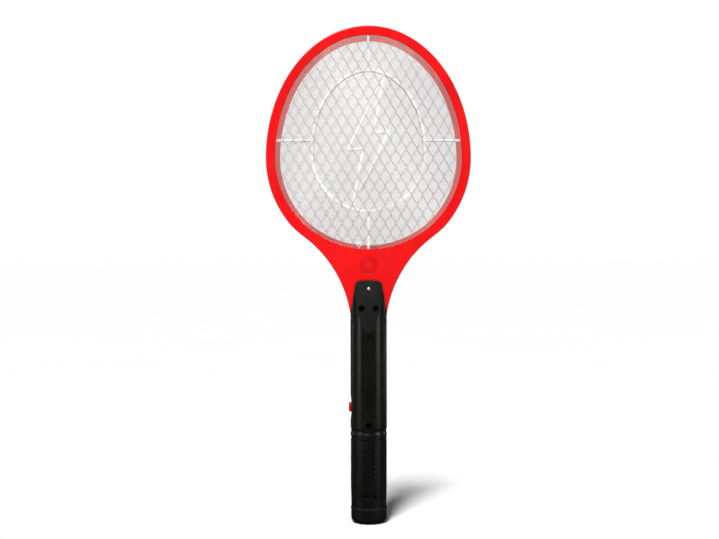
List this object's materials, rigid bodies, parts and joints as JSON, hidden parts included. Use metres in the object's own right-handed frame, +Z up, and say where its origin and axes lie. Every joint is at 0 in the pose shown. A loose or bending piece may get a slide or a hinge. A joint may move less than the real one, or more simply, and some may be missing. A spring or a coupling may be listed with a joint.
{
  "type": "electric fly swatter",
  "caption": "Racket-shaped electric fly swatter: round charged grid head in a plastic frame on a straight battery handle with a side push button and pull-off battery sleeve.",
  "frame": {"origin": "centre of the end cap's flat bottom face", "axes": "+Z up the handle to the top of the head, -Y out of the front face, +X to the right seen from the front"},
  "size_m": [0.2042, 0.0364, 0.4956],
  "materials": {
    "red_plastic": "satin moulded ABS",
    "black_plastic": "satin moulded ABS",
    "white_plastic": "moulded, matt",
    "button_plastic": "polished moulding",
    "component_plastic": "moulded",
    "mesh_metal": "bright drawn metal",
    "screw_steel": "zinc plated",
    "contact_steel": "nickel plated",
    "board_laminate": "paper laminate",
    "ferrite": "ground ferrite",
    "winding_tape": "polyester tape",
    "capacitor_coating": "dipped",
    "disc_ceramic": "dipped",
    "resistor_coating": "lacquered",
    "lamp_lens": "diffused epoxy",
    "red_wire": "PVC insulation",
    "black_wire": "PVC insulation",
    "cell_jacket": "printed foil jacket, plain"
  },
  "bodies": {
    "handle": {"front_frame": "red_plastic", "rear_frame": "red_plastic", "front_mesh": "mesh_metal", "rear_mesh": "mesh_metal", "centre_grid": "mesh_metal", "front_separator": "white_plastic", "rear_separator": "white_plastic", "handle_front_shell": "black_plastic", "handle_rear_shell": "black_plastic", "handle_screws": "screw_steel", "switch_body": "component_plastic", "circuit_board": "board_laminate", "board_screw": "screw_steel", "transformer_core": "ferrite", "transformer_bobbin": "component_plastic", "transformer_winding": "winding_tape", "hv_capacitor": "capacitor_coating", "multiplier_capacitors": "disc_ceramic", "diodes": "component_plastic", "resistors": "resistor_coating", "transistor": "component_plastic", "led": "lamp_lens", "hv_lead": "red_wire", "ground_leads": "black_wire", "led_leads": "contact_steel", "battery_leads": "red_wire", "battery_tray": "black_plastic", "battery_left": "cell_jacket", "battery_right": "cell_jacket", "bridge_contact": "contact_steel", "positive_terminal": "contact_steel", "negative_terminal": "contact_steel", "left_spring": "contact_steel", "right_spring": "contact_steel"},
    "button": {"push_button": "button_plastic", "switch_plunger": "component_plastic"},
    "sleeve": {"battery_sleeve": "black_plastic", "end_cap": "black_plastic"}
  },
  "joints": [
    {"name": "button_press", "type": "slide", "parent": "handle", "child": "button", "axis": [1, 0, 0], "range_m": [0, 0.0012], "stiffness_N_per_m": 800, "springref_m": -0.0015},
    {"name": "sleeve_slide", "type": "slide", "parent": "handle", "child": "sleeve", "axis": [0, 0, -1], "range_m": [0, 0.085]}
  ]
}
